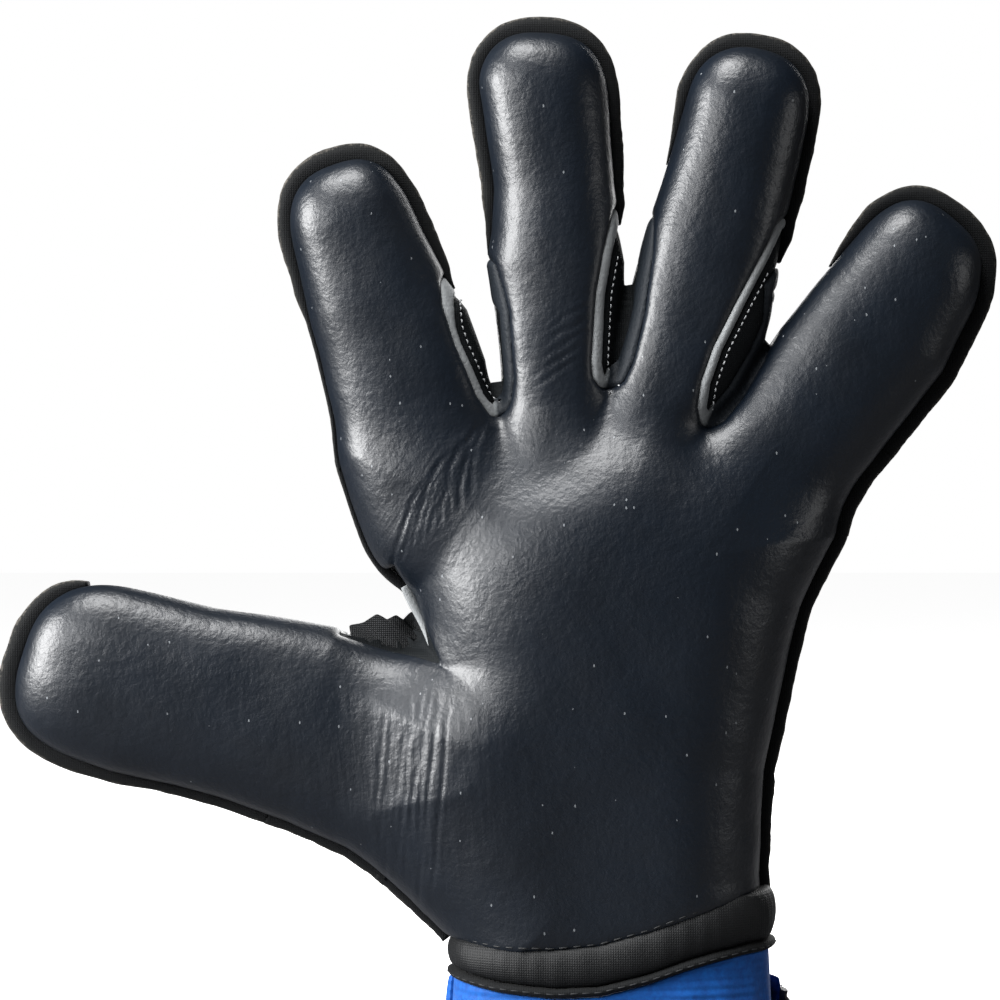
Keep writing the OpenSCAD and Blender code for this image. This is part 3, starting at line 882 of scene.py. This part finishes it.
def tape_section(reach, y1, y2, wobble):
    """A bound edge: flat at the skin, rounded and frayed outside."""
    k = max(reach, 0.05)
    pts = [(-1.2, y1 + 0.5, 0), (0.1 * k, y1 + 0.1, 0), (0.45 * k, y1 - 0.05, 0.05), (0.78 * k, y1 + 0.15, 0.55),
           (k + wobble, y1 + 0.9, 1.0), (k * 1.03 + wobble, (y1 + y2) / 2, 1.0), (k + wobble, y2 - 0.9, 1.0),
           (0.75 * k, y2 - 0.1, 0.4), (0.3 * k, y2 + 0.05, 0.0), (-1.2, y2 - 0.4, 0)]
    return np.array(pts)


TAPES = {
    "index": dict(left=[(-6, 0.9), (36, 1.0), (43, 2.2), (58, 2.9)], right=[(31, -0.5), (39, 1.9), (50, 2.8)], top=4.0),
    "middle": dict(left=[(34, -0.5), (42, 1.3), (50, 2.4), (62, 2.8)], right=[(41, -0.6), (48, 2.0), (60, 2.8)], top=4.1),
    "ring": dict(left=[(54, -0.5), (66, 1.0), (78, 2.6)], right=[(41, -0.5), (49, 2.1), (60, 2.9)], top=4.1),
    "little": dict(left=[(48, -0.5), (56, 1.4), (66, 2.8)], right=[(-10, 3.2), (30, 3.6), (60, 3.8)], top=4.0),
    "thumb": dict(left=[(-20, 2.4), (60, 2.5), (85, 3.4)], right=[(88, -0.8), (93, 1.0), (97, 2.6)], top=4.0),
}
Y1, Y2 = -1.0, 4.6


def finger_path(name, start):
    """Outline of a finger at the depth of its edge tape, up the left side and down the right."""
    f, t = SHAPES[name], TAPES[name]
    top = f["end"] - f["run"]
    rows = []
    for side, col in ((-1, "left"), (1, "right")):
        ss = np.arange(start, top, 0.8)
        part = [(s, side, 0.0, table(t[col], s)) for s in ss]
        for a in np.linspace(0, 90, 26)[:-1] if side < 0 else np.linspace(0, 90, 26):
            q, c = math.sin(math.radians(a)) ** (2 / POWER), math.cos(math.radians(a)) ** (2 / POWER)
            s = top + f["run"] * q
            r = table(t[col], s)
            part.append((s, side * c, a, r + (t["top"] - r) * q ** 3 if r > 0 else r))
        rows += part if side < 0 else part[::-1]
    s = np.array([r[0] for r in rows])
    c = np.array([r[1] for r in rows])
    lo, hi = table(f["rows"], s, 1), table(f["rows"], s, 2)
    u = (lo + hi) / 2 + c * (hi - lo) / 2
    s = s + f["skew"] * (u - (lo + hi) / 2) * (s > top)
    p = world(name, s, u, (Y1 + Y2) / 2)
    r = np.array([r[3] for r in rows])
    return p, s, r


def in_plane_out(p):
    """Outward direction in the plane of the hand for a path that runs up the left and down the right."""
    d = unit(np.gradient(p, axis=0))
    return unit(np.stack([-d[:, 2], 0 * d[:, 0], d[:, 0]], 1))


Y_AXIS = np.array([0.0, 1.0, 0.0])


def tape(name, p, r, body, covers, mat="trim", y1=Y1, y2=Y2, seed=0):
    p, r = resample(p, 0.7, r)
    out = in_plane_out(p)
    p = reach_skin(p, out)
    p[:, 1] = 0
    q = np.stack([np.convolve(np.pad(p[:, k], 2, "edge"), np.ones(5) / 5, "valid") for k in range(3)], 1)
    q[0], q[-1] = p[0], p[-1]
    out = in_plane_out(q)
    wob = 0.06 * lumps(q, 2.4, 20 + seed) + 0.13 * lumps(q, 9, 21 + seed)
    depth = np.tile(Y_AXIS, (len(q), 1))
    v, faces, tones = sweep(q, out, depth, lambda i: tape_section(r[i], y1, y2, wob[i] * min(1, r[i] / 2)))
    obj = to_mesh(name, v, faces, None, tones, mat)
    hang(obj, body)
    if covers:
        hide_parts(covers)
    return obj


for name in SHAPES:
    split = SHAPES[name]["split"]
    p, s, r = finger_path(name, split - 0.2)
    keep = r > 0.15
    tape(f"{name}_tip_tape", p[keep], r[keep], name + "_tip", f"{name}_tip_binding", seed=1)
    for col, side, cover in (("left", 1, "radial"), ("right", 2, "ulnar")):
        ss = np.linspace(FOOT[name] - 1.2, split + 0.2, 40)
        r = table(TAPES[name][col], ss)
        if r.max() < 0.2:
            continue
        u = table(SHAPES[name]["rows"], ss, side)
        p = world(name, ss, u, (Y1 + Y2) / 2)
        if side == 2:
            p, r = p[::-1], r[::-1]
        node_name = {"left": "radial", "right": "ulnar"}[col]
        if name == "thumb":
            node_name = "radial"
        tape(f"{name}_{node_name}_tape", p, r, name + "_base", f"{name}_{node_name}_gusset", seed=2)

# Edge tapes of the hand itself.
ulnar = np.array([(33.6, 58.5), (33.8, 70), (34.8, 83), (37, 97), (39.6, 110), (42.6, 124), (45.6, 137), (49, 145.6), (51.6, 149), (53.2, 151)])[::-1]
tape("ulnar_tape", np.stack([ulnar[:, 0], 0 * ulnar[:, 0], ulnar[:, 1]], 1), np.linspace(3.2, 2.6, len(ulnar)), "hand", "ulnar_side_trim", seed=3)
index_side = np.array([(-49.2, 134.6), (-51.5, 138.6), (-56, 146), (-60.4, 155), (-63, 162.5), (-64.3, 166.4)])
tape("index_side_tape", np.stack([index_side[:, 0], 0 * index_side[:, 0], index_side[:, 1]], 1), np.linspace(1.2, 0.9, 6), "hand", "radial_side_trim", seed=4)
heel = np.array([(-39.5, 51), (-43, 55.5), (-47, 60.5), (-51, 64.6), (-55.6, 67.4)])
tape("heel_tape", np.stack([heel[:, 0], 0 * heel[:, 0], heel[:, 1]], 1), np.linspace(2.2, 2.4, 5), "hand", "thumb_heel_trim", seed=5)

# ---------------------------------------------------------------- linings
for name, sign, wall in (("palm_liner", -1, 4.6), ("backhand_liner", 1, 2.4)):
    keep = np.minimum(sign * skin[:, 1] - 1.0, skin[:, 2] - seam_line(skin[:, 0], skin[:, 1]) - 0.6)
    keep = np.minimum(keep, -np.max(list(owners(skin).values()), 0) - 1.5)
    p, t, _ = clip(skin, tris, keep)
    n0 = unit(slope(p))
    face = p - n0 * (wall - 0.3 * lumps(p, 16, 8))[:, None]
    v, faces, shading, tones = thicken(face, t, n0, point_normals(face, t), 0.9, np.zeros(len(p)))
    obj = to_mesh(name, v, faces, shading, tones, "lining")
    hang(obj, "hand")
    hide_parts({"palm_liner": "palm_lining", "backhand_liner": "backhand_lining"}[name])

# Sides of the stalls and of the crooks stand for the gussets and webs.
GUSSETS = {"index": ["ulnar"], "middle": ["radial", "ulnar"], "ring": ["radial", "ulnar"], "little": ["radial"],
           "thumb": ["ulnar"]}
for name, sides in GUSSETS.items():
    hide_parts(*(f"{name}_{side}_gusset" for side in sides))
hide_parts("web_index_middle", "web_middle_ring", "web_ring_little")
t = np.linspace(0, 1, 24)
line = np.stack([-49.7 + 8.7 * t, -3.2 - 7.2 * t ** 1.3, 135.4 - 17.4 * t], 1)
across = unit(np.array([-0.888, -0.25, -0.459]))
facing = unit(np.array([-0.2, -0.95, 0.1]))
half = 1.15 + 0.12 * np.sin(9 * t)
v, faces, tones = sweep(line, np.tile(across, (24, 1)), np.tile(facing, (24, 1)), lambda i: np.array(
    [(half[i] * math.cos(a), 0.75 * math.sin(a), 0.0) for a in np.linspace(0, 2 * math.pi, 13)[:-1]]))
seam = line - across * 1.7 + [0, 0.5, 0]
sv, sf, st = sweep(seam, np.tile(across, (24, 1)), np.tile(facing, (24, 1)), lambda i: np.array(
    [(1.1 * math.cos(a), 0.7 * math.sin(a), 0.0) for a in np.linspace(0, 2 * math.pi, 13)[:-1]]))
hang(to_mesh("thumb_web_seam", sv, sf, None, st, "trim"), "hand")
# This strip has tone 0 all along: painted light grey, the lit side of the strip material.
piping = to_mesh("thumb_web_strip", v, faces, None, tones, "strip")
hang(piping, "hand")
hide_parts("thumb_web_piping")


# ---------------------------------------------------------------- cuff and strap
def square(v):
    return np.sign(v) * np.abs(v) ** (2 / 3)


def cuff(turn, z, off):
    """A point of the cuff: turn in degrees from the front, height, distance off its wall."""
    a = np.radians(turn)
    turn, z, off = np.broadcast_arrays(turn, z, off)
    x = -0.3 + (np.interp(z, [0, 50], [40.2, 38.4]) + off) * square(np.sin(a))
    y = -(np.interp(z, [0, 50], [26.5, 25]) + off) * square(np.cos(a))
    return np.stack([x, y, z], -1)


def even_turns(a, b, step):
    """Turns from a to b at even steps along the cuff's outline."""
    t = np.linspace(a, b, 2000)
    p = cuff(t, 25.0, 0.0)
    d = np.concatenate([[0], np.cumsum(np.linalg.norm(np.diff(p, axis=0), axis=1))])
    return np.interp(np.linspace(0, d[-1], max(3, int(d[-1] / step))), d, t), d[-1]


def cuff_band(name, a, b, low, high, outer, inner, mat, rows=14, step=1.0, ends=0.0, body="hand"):
    """A padded or flat band of the cuff. low, high, outer and inner are functions."""
    turns, long = even_turns(a, b, step)
    p0 = cuff(turns, 25.0, 0.0)
    lo, hi = low(p0[:, 0], turns), high(p0[:, 0], turns)
    t = (1 - np.cos(np.linspace(0, math.pi, rows))) / 2
    d = np.linspace(0, long, len(turns))
    close = np.clip(np.minimum(d, long - d) / max(ends, 1e-6), 0, 1) ** 0.5 if ends else np.ones(len(turns))
    rings, tones = [], []
    for i, turn in enumerate(turns):
        z = lo[i] + (hi[i] - lo[i]) * t
        o = outer(t, turn)
        n = inner(t, turn)
        mid = (o + n) / 2
        o, n = mid + (o - mid) * close[i], mid + (n - mid) * close[i]
        rings.append(np.concatenate([cuff(turn, z, o), cuff(turn, z, n)[::-1]]))
        edge = np.minimum(t, 1 - t) * (hi[i] - lo[i])
        tones.append(np.concatenate([np.clip(1 - edge / 0.9, 0, 1) * 0.25, 0 * edge]))
    m, n = len(rings[0]), len(rings)
    v = np.concatenate(rings)
    faces = [(i * m + j, (i + 1) * m + j, (i + 1) * m + (j + 1) % m, i * m + (j + 1) % m) for i in range(n - 1) for j in range(m)]
    faces += [tuple(range(m)), tuple((n - 1) * m + j for j in range(m))[::-1]]
    v = v + 0.0
    obj = to_mesh(name, v, faces, None, np.concatenate(tones), mat)
    hang(obj, body)
    return obj, long


def share(x):
    return np.clip((x + 40) / 78, 0, 1)


def heel_low(x, turns):
    return seam_line(x, -1 + 0 * x) - 0.4 - (6.3 + 4.1 * share(x))


def bandage_top(x, turns):
    front = heel_low(x, turns) - 2.4
    back = seam_line(x, 1 + 0 * x) - 0.4
    return np.where(np.abs(turns) < 90, front, np.where(np.abs(turns) > 100, back, front + (back - front) * (np.abs(turns) - 90) / 10))


def crown(base, rise, power=0.5):
    return lambda t, turn: base + rise * np.clip(1 - (2 * t - 1) ** 2, 0, 1) ** power


heel_pad, _ = cuff_band("heel_pad", -88, 88, lambda x, a: heel_low(x, a) + 0.2, lambda x, a: seam_line(x, -1 + 0 * x) + 1.0,
                        lambda t, a: crown(-1.4, 2.1, 0.5)(t, a) + 0.12 * np.sin(a * 0.21 + 3 * t) + 0.06 * np.sin(a * 0.9),
                        crown(-3.6, -0.8), "pad", 20, 0.9)
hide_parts("wrist_heel_band")
heel_edge, _ = cuff_band("heel_edge", -88, 88, lambda x, a: heel_low(x, a) - 2.1, lambda x, a: heel_low(x, a) + 0.1,
                         crown(-0.9, 1.6, 0.5), crown(-3.0, -0.2), "trim", 9, 0.9)
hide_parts("heel_binding")
bandage, bandage_long = cuff_band("wrist_bandage", -175.8, 175.8, lambda x, a: 3.8 + 0 * x, bandage_top,
                                  lambda t, a: -1.0 + 0.22 * np.sin(a * 0.35 + 2.2 * t) * np.sin(3.1 * t) + 0.5 * t * (1 - t),
                                  lambda t, a: -2.6 + 0 * t, "blue", 26, 0.9)
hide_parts("cuff_bandage")
hem, hem_long = cuff_band("cuff_hem_roll", -175.8, 175.8, lambda x, a: 0.05 + 0 * x, lambda x, a: 4.0 + 0 * x,
                          crown(-1.2, 1.3, 0.5), crown(-2.8, -1.2, 0.5), "trim", 12, 0.9)
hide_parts("cuff_hem")
loop, _ = cuff_band("loop_patch", 104, 172, lambda x, a: 11 + 0 * x, lambda x, a: 39 + 0 * x,
                    crown(-0.4, 0.75, 0.3), lambda t, a: -0.5 + 0 * t, "pile", 16, 1.2, 1.5)
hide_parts("cuff_loop_patch")
anchor, _ = cuff_band("strap_root", 236.4, 252, lambda x, a: 10 + 0 * x, lambda x, a: 40 + 0 * x,
                      crown(1.9, 1.2, 0.4), lambda t, a: -0.4 + 0 * t, "blue", 16, 0.8, 1.2)
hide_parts("strap_anchor")
flap, flap_long = cuff_band("strap_flap", 100, 234.4, lambda x, a: 10 + 0 * x, lambda x, a: 40 + 0 * x,
                            lambda t, a: crown(2.9, 0.85, 0.35)(t, a) + 0.12 * np.sin(a * 0.12 + 5 * t), crown(2.5, -0.3, 0.4), "blue",
                            18, 1.0, 1.2, "strap")
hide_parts("strap_band")
hooks, _ = cuff_band("hook_patch", 106, 150, lambda x, a: 12 + 0 * x, lambda x, a: 38 + 0 * x,
                     lambda t, a: 1.75 + 0 * t, crown(1.1, -0.35, 0.3), "pile", 12, 1.2, 1.0, "strap")
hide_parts("strap_hook_patch")
tab, _ = cuff_band("pull_tab", 90.6, 98.8, lambda x, a: 12 + 0 * x, lambda x, a: 38 + 0 * x,
                   lambda t, a: crown(3.0, 1.6, 0.3)(t, a) + 0.35 * np.cos(2 * math.pi * 9 * t), crown(2.4, -0.4, 0.4), "grip",
                   60, 0.5, 1.5, "strap")
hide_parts("strap_pull_tab")


# ---------------------------------------------------------------- stitches
def stitches(name, p, out, length, gap, radius, mat, body, lift=0.1):
    """A row of short thread runs along a path."""
    d = np.concatenate([[0], np.cumsum(np.linalg.norm(np.diff(p, axis=0), axis=1))])
    v, faces = [], []
    shape = [(-0.5, 0.25), (-0.42, 0.8), (-0.2, 1.0), (0.2, 1.0), (0.42, 0.8), (0.5, 0.25)]
    at = length / 2
    while at + length / 2 < d[-1]:
        c = np.array([np.interp(at, d, p[:, k]) for k in range(3)])
        e = np.array([np.interp(at + 0.3, d, p[:, k]) for k in range(3)]) - np.array([np.interp(at - 0.3, d, p[:, k]) for k in range(3)])
        n = unit(np.array([np.interp(at, d, out[:, k]) for k in range(3)]))
        e = unit(e)
        side = np.cross(e, n)
        base = len(v)
        for q, r in shape:
            lift_here = lift - 0.25 * (2 * q) ** 4
            for k in range(6):
                a = k * math.pi / 3
                v.append(c + e * q * length + n * lift_here + radius * r * (side * math.cos(a) + 0.75 * n * math.sin(a)))
        for i in range(len(shape) - 1):
            for k in range(6):
                faces.append((base + i * 6 + k, base + (i + 1) * 6 + k, base + (i + 1) * 6 + (k + 1) % 6, base + i * 6 + (k + 1) % 6))
        faces.append(tuple(base + k for k in range(6)))
        faces.append(tuple(base + (len(shape) - 1) * 6 + k for k in range(6))[::-1])
        at += length + gap
    obj = to_mesh(name, np.array(v), faces, None, None, mat)
    hang(obj, body)
    return obj


def on_front(x, z, deepest=3.0):
    """Points of the palm's skin above points of its plane, and their outward directions."""
    p = np.stack([x, np.full(len(x), -30.0), z], 1)
    lo, hi = np.full(len(x), -30.0), np.full(len(x), deepest)
    for _ in range(24):
        mid = (lo + hi) / 2
        p[:, 1] = mid
        inside = field(p) < 0
        hi, lo = np.where(inside, mid, hi), np.where(inside, lo, mid)
    p[:, 1] = hi
    return p, unit(slope(p))


sx = np.linspace(-36, 33, 120)
p, n = on_front(sx, table(SEAM, sx) + 1.3)
stitches("heel_stitches", p - n * 0.35, n, 2.3, 0.9, 0.2, "thread", "hand")
for name, far in (("index", 31), ("middle", 36), ("ring", 40)):
    ss = np.linspace(4, far, 60)
    w = world(name, ss, table(SHAPES[name]["right"], ss) + table(STRIP[name], ss) + 1.5)
    p, n = on_front(w[:, 0], w[:, 2], 7.0)
    stitches(f"{name}_crook_stitches", p - n * 0.55, n, 1.0, 0.7, 0.2, "pale_thread", name + "_base")
turns, _ = even_turns(-84, 84, 1.0)
q = cuff(turns, heel_low(cuff(turns, 25.0, 0.0)[:, 0], turns) - 1.0, 0.66)
outward = unit(q * [1, 1, 0] + [0.9, 0, 0])
stitches("binding_stitches", q, outward, 2.0, 0.8, 0.18, "thread", "hand")
for z, tag in ((12.2, "low"), (37.8, "high")):
    turns, _ = even_turns(101, 231, 1.0)
    q = cuff(turns, z, 3.62)
    stitches(f"strap_stitches_{tag}", q, unit(q * [1, 1, 0]), 2.4, 0.9, 0.2, "pale_thread", "strap")
turns, _ = even_turns(-174, 174, 1.0)
q = cuff(turns, 2.9, 0.0)
stitches("hem_stitches", q, unit(q * [1, 1, 0]), 2.2, 0.9, 0.18, "thread", "hand")

# Pleated mesh in the crook of the thumb, hung between the index side and the thumb.
rim = np.array([(-39.4, 122), (-44.6, 131.8), (-46.4, 129.6), (-48.6, 128.9), (-50.2, 127.2), (-52.0, 128.4), (-54.4, 127.2),
                (-57.2, 128.2), (-60, 126.4), (-63.2, 125.9), (-62, 119.5), (-50, 115.5)])
(rim,) = resample(np.stack([rim[:, 0], 0 * rim[:, 0], rim[:, 1]], 1), 0.5)
grid = []
for k in np.linspace(0.02, 1, 26):
    row = np.array([WEB_FOOT[0], 0, WEB_FOOT[1] + 1.0]) + (rim - [WEB_FOOT[0], 0, WEB_FOOT[1] + 1.0]) * k
    fold = np.sin(np.linspace(0, 7 * math.pi, len(rim)) + 1.2 * k) * 0.9 * k + 0.25 * np.sin(9 * k + np.arange(len(rim)) * 0.2)
    row[:, 1] = 2.4 + fold
    grid.append(row)
grid = np.array(grid)
rows, cols = grid.shape[:2]
t = np.array([(i * cols + j, i * cols + j + 1, (i + 1) * cols + j + 1) for i in range(rows - 1) for j in range(cols - 1)]
             + [(i * cols + j, (i + 1) * cols + j + 1, (i + 1) * cols + j) for i in range(rows - 1) for j in range(cols - 1)])
flat_grid = grid.reshape(-1, 3)
n0 = point_normals(flat_grid, t)
if n0[:, 1].mean() > 0:
    t = t[:, ::-1]
    n0 = -n0
v, faces, shading, tones = thicken(flat_grid, t, n0, n0, 0.7, np.zeros(len(flat_grid)))
web = to_mesh("thumb_web_pleats", v, faces, shading, tones, "mesh")
hang(web, "hand")
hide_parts("thumb_web_mesh")


# ---------------------------------------------------------------- stage
def pale(name, colour):
    m = bpy.data.materials.new(name)
    m.use_nodes = True
    m.node_tree.nodes["Principled BSDF"].inputs["Base Color"].default_value = (*colour, 1)
    m.node_tree.nodes["Principled BSDF"].inputs["Roughness"].default_value = 0.9
    return m


bpy.ops.mesh.primitive_plane_add(size=12, location=(0, 0, -0.001))
floor = bpy.context.object
floor.name = "floor"
floor.data.materials.append(pale("floor", (0.86, 0.86, 0.86)))
nt = floor.data.materials[0].node_tree
b = nt.nodes["Principled BSDF"]
c = nt.nodes.new("ShaderNodeTexCoord")
span = nt.nodes.new("ShaderNodeVectorMath")
span.operation = "LENGTH"
nt.links.new(c.outputs["Object"], span.inputs[0])
ray = nt.nodes.new("ShaderNodeLightPath")
glow = math_node(nt, "MULTIPLY", math_node(nt, "SUBTRACT", span.outputs["Value"], 0.09), 8.0, True)
b.inputs["Emission Color"].default_value = (1, 1, 1, 1)
nt.links.new(math_node(nt, "MULTIPLY", math_node(nt, "MULTIPLY", glow, 0.92), ray.outputs["Is Camera Ray"]), b.inputs["Emission Strength"])
shade = ramp(nt, ray.outputs["Is Camera Ray"], [(0.0, (0.10, 0.10, 0.105)), (1.0, (0.86, 0.86, 0.86))])
nt.links.new(shade, b.inputs["Base Color"])

cam_data = bpy.data.cameras.new("camera")
cam_data.lens = 112.5
cam_data.sensor_width = 36
cam = bpy.data.objects.new("camera", cam_data)
bpy.context.collection.objects.link(cam)
cam.location = (-0.027, -0.75, 0.156)
cam.rotation_euler = (math.radians(90), 0, 0)
bpy.context.scene.camera = cam


def area(name, loc, target, size, watts, colour=(1, 1, 1)):
    d = bpy.data.lights.new(name, "AREA")
    d.shape = "DISK"
    d.size = size
    d.energy = watts
    d.color = colour
    o = bpy.data.objects.new(name, d)
    o.location = loc
    o.rotation_euler = (Vector(target) - Vector(loc)).to_track_quat("-Z", "Y").to_euler()
    bpy.context.collection.objects.link(o)
    return o


area("key", (-0.95, -0.34, 0.42), (-0.02, 0, 0.15), 0.6, 30)
area("top", (-0.25, -0.28, 1.05), (-0.06, 0, 0.12), 0.5, 15)
area("fill", (0.9, -0.35, 0.25), (0, 0, 0.15), 0.4, 1.0)
area("front", (-0.62, -0.85, 0.55), (-0.02, 0, 0.16), 0.35, 4.0)
area("back", (0.25, 0.95, 0.45), (0, 0, 0.15), 0.8, 7)

w = bpy.data.worlds.new("world")
w.use_nodes = True
bpy.context.scene.world = w
nt = w.node_tree
bg = nt.nodes["Background"]
path = nt.nodes.new("ShaderNodeLightPath")
level = math_node(nt, "ADD", math_node(nt, "MULTIPLY", path.outputs["Is Camera Ray"], 0.95), 0.05)
bg.inputs["Color"].default_value = (1, 1, 1, 1)
nt.links.new(level, bg.inputs["Strength"])
bpy.context.scene.view_settings.view_transform = "Standard"
